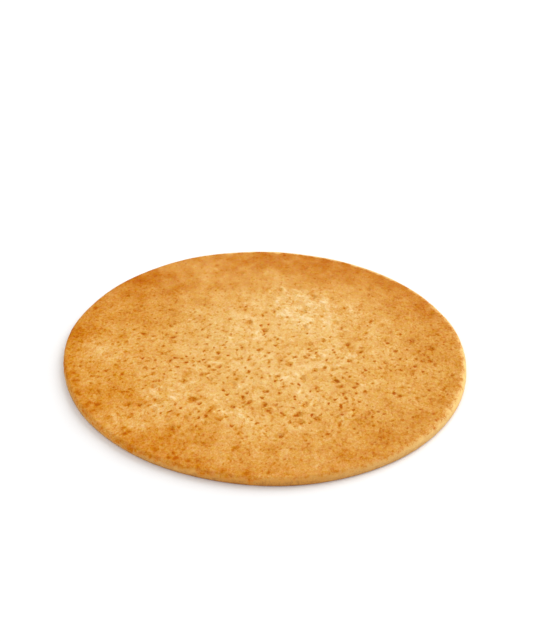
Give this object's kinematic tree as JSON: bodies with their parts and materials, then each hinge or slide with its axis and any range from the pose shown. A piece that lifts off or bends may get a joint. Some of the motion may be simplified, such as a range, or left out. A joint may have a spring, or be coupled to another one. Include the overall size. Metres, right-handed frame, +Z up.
{
  "type": "khakhra",
  "caption": "Thin crisp round flatbread with a pitted, golden roasted top, a rounded pale rim and a flat underside to lie on.",
  "frame": {"origin": "centre of the underside, on the surface that the bread lies on", "axes": "+Z up, out of the roasted top face; +Y away from the viewer and +X to the viewer's right, towards the widest pale rim"},
  "size_m": [0.1198, 0.12, 0.0033],
  "materials": {
    "roasted_crust": "dry roasted wheat crust, matt with a faint oiled sheen"
  },
  "bodies": {
    "root": {"khakhra": "roasted_crust"}
  },
  "joints": []
}
